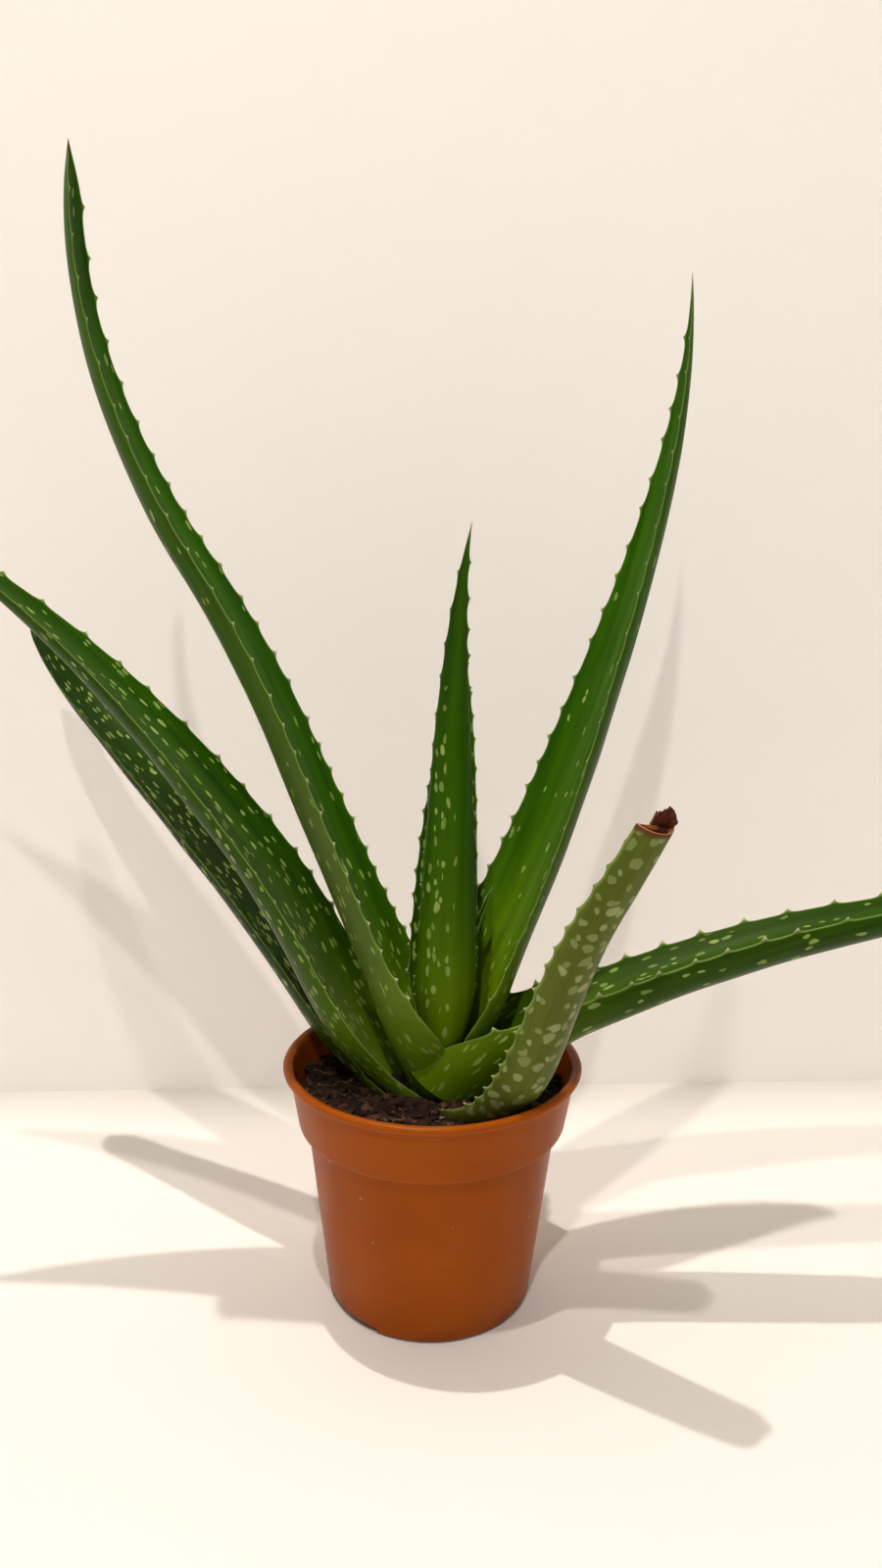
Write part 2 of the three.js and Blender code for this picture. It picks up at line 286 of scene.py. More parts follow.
dust_cells = wire(tree, "TexVoronoi", {"Vector": at, "Scale": 230, "Randomness": 1.0})
dust_pick = wire(tree, "SeparateColor", {"Color": dust_cells.outputs["Color"]}).outputs[0]
dust = times(tree, between(tree, dust_cells.outputs["Distance"], 0.16, 0.05),
             between(tree, dust_pick, 0.965, 0.975))
plastic_colour = blended(tree, times(tree, dust, 0.7), plastic_colour, (0.055, 0.022, 0.010))
lime = between(tree, dust_pick, 0.022, 0.014)
lime = times(tree, between(tree, dust_cells.outputs["Distance"], 0.2, 0.07), lime)
plastic_colour = blended(tree, times(tree, lime, 0.65), plastic_colour, (0.52, 0.33, 0.2))
# The pot is darker towards its bottom, in cloudy patches.
foot_darkening = times(tree, between(tree, height, 0.010, 0.0), between(tree, clouds, 0.4, 0.6))
plastic_colour = blended(tree, times(tree, foot_darkening, 0.35), plastic_colour, (0.09, 0.03, 0.012))
tree.links.new(plastic_colour, skin.inputs["Base Color"])
rough = plus(tree, 0.30, times(tree, clouds, 0.14))
rough = plus(tree, rough, times(tree, scuffs, 0.25))
tree.links.new(rough, skin.inputs["Roughness"])
mould_lines = grainy(tree, stretched(tree, at, (14, 14, 260)), 1, 2)
relief = plus(tree, times(tree, clouds, 0.9), times(tree, mould_lines, 0.5))
relief = plus(tree, relief, times(tree, scuffs, -0.12))
relief = plus(tree, relief, times(tree, fine, 0.03))
roughened(tree, skin, relief, 0.4 * MM, 0.6)
skin.inputs["Specular IOR Level"].default_value = 0.13
skin.inputs["Specular Tint"].default_value = (1.0, 0.75, 0.5, 1)
pot.data.materials.clear()
pot.data.materials.append(plastic)
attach(pot, "root")
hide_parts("pot")


# ---------------------------------------------------------------- the potting mix
# Dark peat and bark pressed into the pot round the plant's crown, lumpy on top and banked up
# the wall at the left. Loose chips, fibres and grit lie on it.
mix_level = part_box("potting_mix")[1].z - 1.2 * MM
collar_slope = 3.4 / 22
mix_gap = 0.35 * MM
mix_radius = collar_foot_radius + collar_slope * (mix_level - collar_foot) - pot_wall - mix_gap
mix_steps = 54
mix_turns = 200
fibre_count = 150


def mix_surface(x, y):
    """How high the potting mix stands at a place inside the pot."""
    out = math.hypot(x, y) / mix_radius
    turn = math.atan2(y, x)
    bank = 3.4 * MM * max(0, math.cos(turn - math.radians(205))) ** 2 * out ** 3
    bank += 1.6 * MM * max(0, math.cos(turn - math.radians(330))) ** 4 * out ** 4
    heap = 4.2 * MM * math.exp(-((out - 0.36) / 0.16) ** 2)
    lumps = noise.noise((x * 110, y * 110, 0.3)) * 1.5
    lumps += noise.noise((x * 260, y * 260, 4.1)) * 0.9
    specks = noise.noise((x * 700, y * 700, 7.7)) * 0.45
    specks += noise.noise((x * 1500, y * 1500, 2.2)) * 0.22
    return mix_level - 0.9 * MM + bank + heap + (lumps + specks) * MM


mix_profile = [(0, pot_floor + 0.4 * MM), (foot_radius - 5 * MM, pot_floor + 0.4 * MM)]
mix_shoulder = (wall_top_radius - 2.2 * MM, collar_foot - 1 * MM)
mix_profile += straight_points(mix_profile[-1], mix_shoulder, 5)
mix_profile += [(collar_foot_radius - 2.1 * MM, collar_foot + 1 * MM)]
mix_profile += straight_points(mix_profile[-1], (mix_radius, mix_level - 2.5 * MM), 2)
mix_profile += straight_points(mix_profile[-1], (0, mix_level), mix_steps)
mix_body = turned(mix_profile, mix_turns)
for point in mix_body.verts:
    if point.co.z > mix_level - 2.4 * MM:
        point.co.z = mix_surface(point.co.x, point.co.y)
mix = finished("peat_bed", mix_body)


def peat(name, dark, light, scale):
    """A finish for damp organic matter: mottled between two colours and rough to the touch."""
    finish, tree, skin = paint(name)
    at = object_place(tree)
    mottle = grainy(tree, at, scale, 6, 0.7)
    patch = grainy(tree, at, scale / 5, 2)
    share = plus(tree, times(tree, mottle, 0.7), times(tree, patch, 0.3))
    share = between(tree, share, 0.38, 0.66)
    tree.links.new(blended(tree, share, dark, light), skin.inputs["Base Color"])
    skin.inputs["Roughness"].default_value = 0.9
    skin.inputs["Specular IOR Level"].default_value = 0.25
    roughened(tree, skin, mottle, 0.8 * MM, 0.9)
    return finish


mix.data.materials.append(peat("damp_peat", (0.008, 0.0036, 0.0016), (0.055, 0.026, 0.013), 420))
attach(mix, "root")
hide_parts("potting_mix")

mix_dice = random.Random(41)


def spot_on_mix(dice, closest=0.36):
    """A random place on the open ring of potting mix round the crown."""
    turn = dice.uniform(0, math.tau)
    out = mix_radius * math.sqrt(dice.uniform(closest ** 2, 0.985 ** 2))
    return out * math.cos(turn), out * math.sin(turn)


def crumbs(name, count, small, large, flatness, dice, finish, sink=0.25):
    """Loose bits scattered over the mix: each one a lump pressed flat, with knocked corners."""
    body = bmesh.new()
    for _ in range(count):
        x, y = spot_on_mix(dice)
        size = dice.uniform(small, large) * dice.uniform(0.6, 1)
        bit = bmesh.ops.create_icosphere(body, subdivisions=1, radius=0.5)["verts"]
        for corner in bit:
            corner.co *= dice.uniform(0.72, 1.2)
        chip = (size, size * dice.uniform(0.35, 0.8), size * flatness)
        bmesh.ops.scale(body, verts=bit, vec=chip)
        tilt = Matrix.Rotation(dice.uniform(0, math.tau), 3, "Z")
        tilt = tilt @ Matrix.Rotation(dice.gauss(0, 0.45), 3, "X")
        tilt = tilt @ Matrix.Rotation(dice.gauss(0, 0.4), 3, "Y")
        bmesh.ops.rotate(body, verts=bit, cent=(0, 0, 0), matrix=tilt)
        height = mix_surface(x, y) + size * flatness * (0.5 - sink)
        bmesh.ops.translate(body, verts=bit, vec=(x, y, height))
    body.normal_update()
    piece = finished(name, body, smooth=False)
    piece.data.materials.append(finish)
    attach(piece, "root")
    return piece


crumbs("bark_chips_dark", 620, 2.6 * MM, 7.5 * MM, 0.45, mix_dice,
       peat("bark_dark", (0.012, 0.005, 0.0025), (0.055, 0.025, 0.012), 700))
crumbs("bark_chips_red", 300, 2.6 * MM, 8.0 * MM, 0.38, mix_dice,
       peat("bark_red", (0.055, 0.018, 0.008), (0.17, 0.070, 0.034), 800))
crumbs("husk_chips_tan", 110, 1.8 * MM, 5.5 * MM, 0.25, mix_dice,
       peat("husk_tan", (0.11, 0.06, 0.03), (0.30, 0.19, 0.11), 900))
crumbs("pale_grit", 60, 1.0 * MM, 2.6 * MM, 0.8, mix_dice,
       peat("grit_pale", (0.33, 0.27, 0.2), (0.62, 0.56, 0.46), 1200))

fibre_body = bmesh.new()
for _ in range(fibre_count):
    x, y = spot_on_mix(mix_dice)
    heading = mix_dice.uniform(0, math.tau)
    steps = mix_dice.randint(5, 9)
    thick = mix_dice.uniform(0.16, 0.34) * MM
    ring = bmesh.ops.create_circle(fibre_body, segments=4, radius=thick, cap_ends=True)
    tilt = Matrix.Rotation(heading, 3, "Z") @ Matrix.Rotation(math.radians(90), 3, "Y")
    bmesh.ops.rotate(fibre_body, verts=ring["verts"], cent=(0, 0, 0), matrix=tilt)
    height = mix_surface(x, y) + mix_dice.uniform(0.6, 2.2) * MM
    bmesh.ops.translate(fibre_body, verts=ring["verts"], vec=(x, y, height))
    end = ring["verts"][0].link_faces[0]
    for _ in range(steps):
        grown = bmesh.ops.extrude_face_region(fibre_body, geom=[end])["geom"]
        end = next(g for g in grown if isinstance(g, bmesh.types.BMFace))
        heading += mix_dice.gauss(0, 0.4)
        stride = mix_dice.uniform(0.9, 1.8) * MM
        x, y = x + stride * math.cos(heading), y + stride * math.sin(heading)
        if math.hypot(x, y) > mix_radius * 0.97:
            break
        lift = mix_surface(x, y) + mix_dice.uniform(0.3, 1.4) * MM - height
        height += lift * 0.6
        step = (stride * math.cos(heading), stride * math.sin(heading), lift * 0.6)
        bmesh.ops.translate(fibre_body, verts=end.verts[:], vec=step)
bmesh.ops.remove_doubles(fibre_body, verts=fibre_body.verts, dist=0.00001)
bmesh.ops.recalc_face_normals(fibre_body, faces=fibre_body.faces)
fibres = finished("peat_fibres", fibre_body)
fibres.data.materials.append(peat("fibre_tan", (0.07, 0.035, 0.016), (0.24, 0.14, 0.07), 1000))
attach(fibres, "root")


# ---------------------------------------------------------------- the stem
# The plant's short, pale green stem, almost all of it hidden under the leaf bases and in the
# mix. It keeps its turned shape and gets a skin with leaf scars round it.
stem_finish, tree, skin = paint("stem_skin_scarred")
at = object_place(tree)
scars = grainy(tree, stretched(tree, at, (60, 60, 700)), 1, 3)
scar_share = between(tree, scars, 0.35, 0.65)
stem_colour = blended(tree, scar_share, (0.23, 0.26, 0.07), (0.12, 0.09, 0.035))
tree.links.new(stem_colour, skin.inputs["Base Color"])
tree.links.new(between(tree, scars, 0.2, 0.8, 0.5, 0.75), skin.inputs["Roughness"])
roughened(tree, skin, scars, 0.6 * MM, 0.8)
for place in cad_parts["stem"].material_slots:
    place.material = stem_finish


# ---------------------------------------------------------------- the leaves
# Nine fleshy leaves, each a channel with a rounded back that narrows to a dry point. A pale
# horny line with small teeth runs along both margins. One is cut short and has dried at the cut.
leaf_columns = 24
leaf_stride = 0.6 * MM
tooth_lean = 0.35
horny_height = 1.2 * MM
# The rows that close the cut end: their size beside the blade's own end, how far they stand out
# (in mm), and a mark past 1 that tells the skin to turn to flesh.
cut_rows = ((0.97, 0.35, 1.1), (0.9, 0.25, 1.2), (0.74, -0.5, 1.4), (0.5, -1.2, 1.6),
            (0.25, -1.5, 1.8), (0, -1.6, 2.0))
clasp_reach = 34 * MM
widest_clasp = math.radians(168)


def rings_from(start):
    """Rows of points that lie one, two, three edges and so on from the starting ones."""
    met = set(start)
    rows = [list(start)]
    while rows[-1]:
        near = [edge.other_vert(point) for point in rows[-1] for edge in point.link_edges]
        rows.append([point for point in dict.fromkeys(near) if point not in met])
        met.update(near)
    return rows[:-1]


def walked_round(ring, before):
    """One ring of points in order round the leaf, by the edges that border the ring before."""
    members, earlier = set(ring), set(before)
    order = [ring[0]]
    while len(order) < len(ring):
        for edge in order[-1].link_edges:
            point = edge.other_vert(order[-1])
            bordered = any(earlier.intersection(face.verts) for face in edge.link_faces)
            if point in members and point not in order and bordered:
                order.append(point)
                break
    return np.array([point.co for point in order])


def leaf_rails(node):
    """Left margin, right margin, channel floor and keel of a CAD leaf, from foot to tip."""
    shape = bmesh.new()
    shape.from_mesh(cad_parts[node].data)
    bmesh.ops.remove_doubles(shape, verts=shape.verts, dist=0.00001)
    corner_a, corner_b = [point for point in shape.verts if len(point.link_edges) == 3]
    reach_a, reach_b = [
        {point: step for step, row in enumerate(rings_from([corner])) for point in row}
        for corner in (corner_a, corner_b)
    ]
    shortest = reach_a[corner_b]
    foot = [point for point in shape.verts if reach_a[point] + reach_b[point] == shortest]
    foot.sort(key=reach_a.get)
    rows = rings_from(foot)
    half = len(foot) - 1
    line = np.array([point.co for point in foot])
    rings = [np.concatenate([line, line[half - 1:0:-1]])]
    for before, ring in zip(rows, rows[1:]):
        if len(ring) != 2 * half:
            rings.append(np.repeat(np.array([ring[0].co]), 2 * half, 0))
            break
        spots = walked_round(ring, before)
        both_ways = (spots, spots[::-1])
        turns = [np.roll(way, shift, 0) for way in both_ways for shift in range(2 * half)]
        last = rings[-1] - rings[-1].mean(0)
        rings.append(min(turns, key=lambda way: ((way - way.mean(0) - last) ** 2).sum()))
    shape.free()
    rings = np.array(rings)
    left, right = rings[:, 0], rings[:, half]
    floor, keel = rings[:, half // 2], rings[:, half + half // 2]
    middle = len(rings) // 2
    centre = (left[middle] + right[middle]) / 2
    if np.linalg.norm(floor[middle] - centre) > np.linalg.norm(keel[middle] - centre):
        floor, keel = keel, floor
    along = centre - (left[middle - 1] + right[middle - 1]) / 2
    if np.dot(np.cross(right[middle] - left[middle], along), keel[middle] - floor[middle]) < 0:
        left, right = right, left
    return left, right, floor, keel


def flowing(points, places):
    """Points of a smooth line through the given ones, at places counted in points."""
    before, after = 2 * points[:1] - points[1:2], 2 * points[-1:] - points[-2:-1]
    padded = np.concatenate([before, points, after])
    index = np.clip(places.astype(int), 0, len(points) - 2)
    t = (places - index)[:, None]
    a, b, c, d = (padded[index + step] for step in range(4))
    squared, cubed = 2 * a - 5 * b + 4 * c - d, 3 * b - a - 3 * c + d
    return 0.5 * (2 * b + (c - a) * t + squared * t ** 2 + cubed * t ** 3)


def unit(rows):
    """Rows of vectors at length one."""
    return rows / np.maximum(np.linalg.norm(rows, axis=-1, keepdims=True), 1e-9)


def tooth_line(along, length, height, spacing, first, dice):
    """How far the margin stands out for its teeth, and how far its web swells at each."""
    spike = np.zeros(len(along))
    web = np.full(len(along), -0.3 * MM)
    place = first
    while place < length * 0.965:
        share = place / length
        row = np.argmin(np.abs(along - place))
        strength = height * dice.uniform(0.75, 1.1) * (1.05 - 0.55 * share ** 2)
        away = np.abs(along - along[row])
        base = (1.0 + 0.35 * strength / MM) * MM
        spike = np.maximum(spike, strength * np.clip(1 - away / base, 0, 1) ** 1.5)
        web = np.maximum(web, (-0.3 + 0.75 * np.exp(-(away / (2.6 * MM)) ** 2)) * MM)
        place += spacing * dice.uniform(0.8, 1.2) * (0.7 + 0.5 * min(share * 2, 1))
    to_tip = length - along
    fade = np.clip((along - first * 0.5) / (12 * MM), 0, 1) * np.clip(to_tip / (22 * MM), 0, 1)
    return spike * np.clip(to_tip / (14 * MM), 0.25, 1), web * fade


def soft_waves(across, along, dice, long, wide, count):
    """Gentle unevenness of a leaf's skin, from -1 to 1, from slow waves in both directions."""
    total = np.zeros(np.broadcast(across, along).shape)
    for _ in range(count):
        turn = dice.uniform(0, math.tau)
        crosswise = across / wide * dice.uniform(0.5, 1.4)
        lengthwise = along / long * dice.uniform(0.5, 1.5)
        total += np.sin(crosswise + lengthwise + turn)
    return total / count


def build_leaf(node, name, habit, dice):
    """One leaf wrapped round its CAD leaf's margins, channel floor and keel."""
    rails = leaf_rails(node)
    if habit["cut"]:
        rails = [rail[:-1] for rail in rails]
    left, right, floor, keel = rails
    middle_line = (floor + keel) / 2
    length = np.linalg.norm(np.diff(middle_line, axis=0), axis=1).sum()
    count = int(length / leaf_stride)
    places = np.linspace(0, len(floor) - 1, count)
    left, right, floor, keel = (flowing(rail, places) for rail in (left, right, floor, keel))
    along = np.linspace(0, length, count)[:, None]
    forward = unit(np.gradient((floor + keel) / 2, axis=0))[:, None]
    centre = (left + right) / 2
    chord = np.linalg.norm(right - left, axis=1)[:, None]
    across_way = unit(right - left)
    down = keel - centre
    down = unit(down - (down * across_way).sum(1, keepdims=True) * across_way)
    sag = np.maximum(((floor - centre) * down).sum(1)[:, None], 1e-6)
    flesh = np.maximum(((keel - centre) * down).sum(1)[:, None] - sag, 0)
    half = 2 * np.arctan2(2 * sag, chord)
    radius = chord / (2 * np.maximum(np.sin(half), 1e-3))
    grip = np.exp(-(along / clasp_reach) ** 2)
    half = np.minimum(half + math.radians(habit["wrap"]) * grip, widest_clasp)
    radius = radius * (1 + habit["swell"] * grip)
    turn = np.linspace(0, math.pi, leaf_columns + 1)
    sideways = np.concatenate([-np.cos(turn), np.cos(turn)[1:]])[None]
    back_side = np.concatenate([np.ones(leaf_columns), [0.5], np.zeros(leaf_columns)])[None]
    back_side = np.where(np.arange(back_side.shape[1]) == 0, 0.5, back_side)
    bend = half * sideways
    across_3, down_3 = across_way[:, None], down[:, None]
    channel = centre[:, None] + across_3 * (radius * np.sin(bend))[..., None]
    channel = channel + down_3 * (sag - radius * (1 - np.cos(bend)))[..., None]
    outward = across_3 * np.sin(bend)[..., None] + down_3 * np.cos(bend)[..., None]
    tangent = across_3 * np.cos(bend)[..., None] - down_3 * np.sin(bend)[..., None]
    body = np.clip(1 - np.abs(sideways) ** 2.2, 0, 1) ** 0.8
    across = sideways * half * radius
    edge = (1 - np.abs(sideways)) * half * radius
    ribs = soft_waves(across, along, dice, 60 * MM, 1.1 * MM, 5) * 0.07 * MM
    dents = soft_waves(across, along, dice, 9 * MM, 6 * MM, 6) * 0.34 * MM
    fullness = np.clip(flesh / (2 * MM), 0, 1)
    swell = (ribs + dents) * body * fullness
    depth = np.where(back_side > 0.4, flesh * body + swell, 0)
    spots = channel + outward * (depth - np.where(back_side < 0.4, swell * 0.6, 0))[..., None]
    tooth = np.zeros(spots.shape[:2])
    later = habit["first"] + habit["space"] * 0.45
    for sign, column, first in ((-1, 0, habit["first"]), (1, leaf_columns, later)):
        spike, web = tooth_line(along[:, 0], length, habit["tooth"], habit["space"], first, dice)
        near = np.exp(-edge / (1.5 * MM)) * (sideways * sign > 0) * np.ones_like(along)
        spots += tangent * (sign * near * web[:, None])[..., None]
        columns = [0, 2 * leaf_columns] if column == 0 else [column]
        for spot in columns:
            spots[:, spot] += tangent[:, spot] * sign * spike[:, None]
            spots[:, spot] += forward[:, 0] * tooth_lean * spike[:, None]
            tooth[:, spot] = np.clip(spike / horny_height, 0, 1)
            for beside in (spot - 1, spot + 1):
                if 0 <= beside <= 2 * leaf_columns:
                    spots[:, beside] += tangent[:, beside] * sign * 0.3 * spike[:, None]
                    pale = 0.2 * np.clip(spike / horny_height, 0, 1)
                    tooth[:, beside] = np.maximum(tooth[:, beside], pale)
    share = along / length * np.ones_like(sideways)
    if habit["cut"]:
        hub = ((floor + keel) / 2)[-1]
        for shrink, sunk, mark in cut_rows:
            row = hub + (spots[count - 1] - hub) * shrink + forward[-1] * sunk * MM
            spots = np.concatenate([spots, row[None]])
            share = np.concatenate([share, np.full_like(share[:1], mark)])
            along = np.concatenate([along, along[-1:] + 0.3 * MM])
            across, edge, tooth = (
                np.concatenate([layer, layer[-1:] * shrink]) for layer in (across, edge, tooth)
            )
    else:
        spots[-1] = keel[-1]
    back_side = back_side * np.ones_like(share)
    across = across * np.ones_like(share)
    along_grid = along * np.ones_like(share)
    place = (sideways * np.ones_like(share), along_grid, share, back_side)
    fleck, gold = habit["flecks"](*place), habit["gold"](*place)

    body = bmesh.new()
    rows = len(spots)
    bmesh.ops.create_grid(body, x_segments=2 * leaf_columns, y_segments=rows - 1, size=1)
    mesh = bpy.data.meshes.new(name)
    body.to_mesh(mesh)
    body.free()
    flat = np.zeros(len(mesh.vertices) * 3, np.float32)
    mesh.vertices.foreach_get("co", flat)
    flat = flat.reshape(-1, 3)
    column = np.rint((flat[:, 0] + 1) / 2 * 2 * leaf_columns).astype(int)
    row = np.rint((flat[:, 1] + 1) / 2 * (rows - 1)).astype(int)
    mesh.vertices.foreach_set("co", spots[row, column].astype(np.float32).ravel())
    own, flat_lightness_and_shade = np.full_like(share, dice.random()), np.full_like(share, habit["lightness_and_shade"])
    for label, layers in (
        ("leaf_place", (across, along_grid, back_side)),
        ("leaf_form", (edge * np.ones_like(share), share, tooth)),
        ("leaf_marks", (fleck, gold, own)),
        ("leaf_lightness_and_shade", (flat_lightness_and_shade, np.full_like(share, habit["painted_sheen"]), np.zeros_like(share))),
    ):
        values = np.stack([layer[row, column] for layer in layers], 1).astype(np.float32)
        stored = mesh.attributes.new(label, "FLOAT_VECTOR", "POINT")
        stored.data.foreach_set("vector", values.ravel())
    body = bmesh.new()
    body.from_mesh(mesh)
    bmesh.ops.remove_doubles(body, verts=body.verts, dist=0.000002)
    bmesh.ops.recalc_face_normals(body, faces=body.faces)
    body.to_mesh(mesh)
    body.free()
    mesh.polygons.foreach_set("use_smooth", [True] * len(mesh.polygons))
    piece = bpy.data.objects.new(name, mesh)
    bpy.context.collection.objects.link(piece)
    return piece, spots


def leaf_layer(tree, name):
    """The three values kept on the leaf's points under that name."""
    stored = wire(tree, "Attribute", attribute_name=name).outputs["Vector"]
    return wire(tree, "SeparateXYZ", {"Vector": stored}).outputs


def moved(tree, place, **shift):
    """The place shifted along the named axes."""
    away = wire(tree, "CombineXYZ", shift).outputs[0]
    return wire(tree, "VectorMath", {0: place, 1: away}, operation="ADD").outputs[0]


def leaf_skin(name, deep, bright, gold, painted_sheen, fleck_colour, fleck_size, fleck_reach):
    """Waxy leaf skin, with flecks in rows, a golden base, a pale horny margin and dry tips."""
    finish, tree, skin = paint(name)
    place = wire(tree, "Attribute", attribute_name="leaf_place").outputs["Vector"]
    edge, share, tooth = leaf_layer(tree, "leaf_form")
    fleck_share, gold_share, own = leaf_layer(tree, "leaf_marks")
    _, reach, side = leaf_layer(tree, "leaf_place")
    lightness_and_shade, painted_sheen_amount, _ = leaf_layer(tree, "leaf_lightness_and_shade")
    shifted = moved(tree, place, X=own, Y=own)
    streaks = grainy(tree, stretched(tree, shifted, (1500, 26, 9)), 1, 3, 0.6)
    bands = grainy(tree, stretched(tree, shifted, (260, 9, 9)), 1, 2, 0.5)
    patches = grainy(tree, stretched(tree, shifted, (70, 22, 9)), 1, 3, 0.55)
    colour = blended(tree, between(tree, bands, 0.3, 0.7), deep, bright)
    colour = blended(tree, times(tree, between(tree, streaks, 0.4, 0.75), 0.28), colour,
                     tuple(1.55 * c for c in bright))
    colour = blended(tree, times(tree, between(tree, patches, 0.5, 0.75), 0.3), colour,
                     tuple(0.6 * c for c in deep))
    # Each leaf's skin is darkened by its own amount: partly its own deeper green, partly painted
    # shade on a leaf that lies in shade.
    colour = blended(tree, lightness_and_shade, (0, 0, 0), colour)
    # A painted grey sheen on the leaf's back, strongest towards its foot, stands for reflected
    # light.
    painted_sheen_share = times(tree, side, between(tree, reach, 0.22, 0.08, 0.15, 0.8))
    colour = blended(tree, times(tree, painted_sheen_share, painted_sheen_amount), colour, painted_sheen)
    gold_bands = between(tree, bands, 0.15, 0.6, 0.75, 1.0)
    gold_mix = times(tree, gold_share, gold_bands, clamp=True)
    colour = blended(tree, gold_mix, colour, gold)
    wobble = grainy(tree, stretched(tree, shifted, (300, 120, 9)), 1, 1)
    rows = stretched(tree, shifted, (1 / fleck_size[0], 1 / fleck_size[1], 7))
    rows = moved(tree, rows, X=times(tree, wobble, 0.9), Y=times(tree, wobble, 0.5))
    rows = moved(tree, rows, X=times(tree, side, back_shift))
    cells = wire(tree, "TexVoronoi", {"Vector": rows, "Scale": 1.0, "Randomness": 0.85},
                 voronoi_dimensions="2D")
    chance = wire(tree, "SeparateColor", {"Color": cells.outputs["Color"]})
    size = between(tree, chance.outputs[1], 0.0, 1.0, 0.55 * fleck_reach, fleck_reach)
    inside = sums(tree, "DIVIDE", cells.outputs["Distance"], size)
    spot = between(tree, inside, 1.0, 0.72)
    drawn = sums(tree, "LESS_THAN", chance.outputs[0], fleck_share)
    clear_of_edge = between(tree, edge, 0.0004, 0.0011)
    fleck = times(tree, times(tree, spot, drawn), clear_of_edge)
    strength = between(tree, chance.outputs[2], 0.0, 1.0, 0.5, 0.95)
    colour = blended(tree, times(tree, fleck, strength), colour, fleck_colour)
    horny = between(tree, edge, 0.0006, 0.0002)
    colour = blended(tree, times(tree, horny, 0.6), colour, margin_green)
    colour = blended(tree, between(tree, tooth, 0.15, 0.8, 0.0, 0.92), colour, tooth_cream)
    uneven = plus(tree, share, times(tree, patches, 0.008))
    dry = between(tree, uneven, 0.985, 1.0)
    colour = blended(tree, dry, colour, dry_tip)
    flesh = between(tree, share, 1.02, 1.12)
    flesh_colour = blended(tree, between(tree, patches, 0.35, 0.7), flesh_pale, flesh_dried)
    flesh_colour = blended(tree, between(tree, share, 1.35, 1.7), flesh_colour, flesh_heart)
    colour = blended(tree, flesh, colour, flesh_colour)
    tree.links.new(colour, skin.inputs["Base Color"])
    rough = plus(tree, 0.33, times(tree, patches, 0.16))
    rough = plus(tree, rough, times(tree, dry, 0.3), clamp=True)
    tree.links.new(rough, skin.inputs["Roughness"])
    relief = plus(tree, times(tree, streaks, 0.5), times(tree, fleck, 0.35))
    roughened(tree, skin, relief, 0.18 * MM, 0.5)
    skin.inputs["Specular IOR Level"].default_value = 0.10
    skin.inputs["Specular Tint"].default_value = (0.9, 1.0, 0.4, 1)
    return finish


back_shift = 31.7
margin_green = (0.25, 0.34, 0.09)
tooth_cream = (0.62, 0.60, 0.36)
dry_tip = (0.11, 0.045, 0.018)
flesh_pale = (0.52, 0.22, 0.09)
flesh_dried = (0.30, 0.10, 0.035)
flesh_heart = (0.10, 0.022, 0.008)
# The grey-green colour each skin puts on the backs of the leaves is a painted sheen.
green_skin = leaf_skin(
    "aloe_skin_green", deep=(0.012, 0.056, 0.0002), bright=(0.028, 0.100, 0.0003),
    gold=(0.16, 0.27, 0.0008), painted_sheen=(0.095, 0.135, 0.028), fleck_colour=(0.28, 0.38, 0.09),
    fleck_size=(2.1 * MM, 6.6 * MM), fleck_reach=0.40,
)
spotted_skin = leaf_skin(
    "aloe_skin_spotted", deep=(0.062, 0.092, 0.006), bright=(0.100, 0.132, 0.012),
    gold=(0.20, 0.235, 0.02), painted_sheen=(0.105, 0.130, 0.028), fleck_colour=(0.28, 0.34, 0.13),
    fleck_size=(4.0 * MM, 6.0 * MM), fleck_reach=0.44,
)


def speckled(base, rest, reach, centre=0.0, width=9.0, fade=2.0):
    """A rule for how many flecks show: base at the foot and rest beyond its reach (in mm), in a
    band across the leaf if one is given, and none past the share of its length where they fade."""
    def rule(sideways, along, share, back_side):
        amount = rest + (base - rest) * np.exp(-(along / (reach * MM)) ** 2)
        band = np.exp(-((sideways - centre) / width) ** 2)
        return amount * band * np.clip((fade - share) / 0.15, 0, 1)
    return rule


def golden(reach, amount, heart=0.0):
    """A rule for the yellow-green of a leaf's foot, as far as its reach (in mm), with a golden
    middle stripe if heart is given."""
    def rule(sideways, along, share, back_side):
        foot = amount * np.exp(-(along / (reach * MM)) ** 2)
        stripe = np.exp(-(along / (2.4 * reach * MM)) ** 2) * np.exp(-(sideways / 0.45) ** 2)
        return np.clip(foot + heart * stripe * (1 - 0.6 * back_side), 0, 1)
    return rule


def habit(teeth, flecks, gold, lightness_and_shade=1.0, painted_sheen=0.0, wrap=0, swell=0, cut=False):
    """How one leaf grows: its teeth (height, spacing and first place, in mm), its flecks, its
    golden foot, how light its whole skin is kept (partly its own deeper green, partly painted
    shade for a leaf that lies in shade), how much painted grey sheen its back gets, and how many
    degrees further round, and what share wider, its foot clasps."""
    tooth, space, first = (size * MM for size in teeth)
    return {
        "tooth": tooth, "space": space, "first": first, "flecks": flecks, "gold": gold,
        "lightness_and_shade": lightness_and_shade, "painted_sheen": painted_sheen, "wrap": wrap, "swell": swell, "cut": cut,
    }
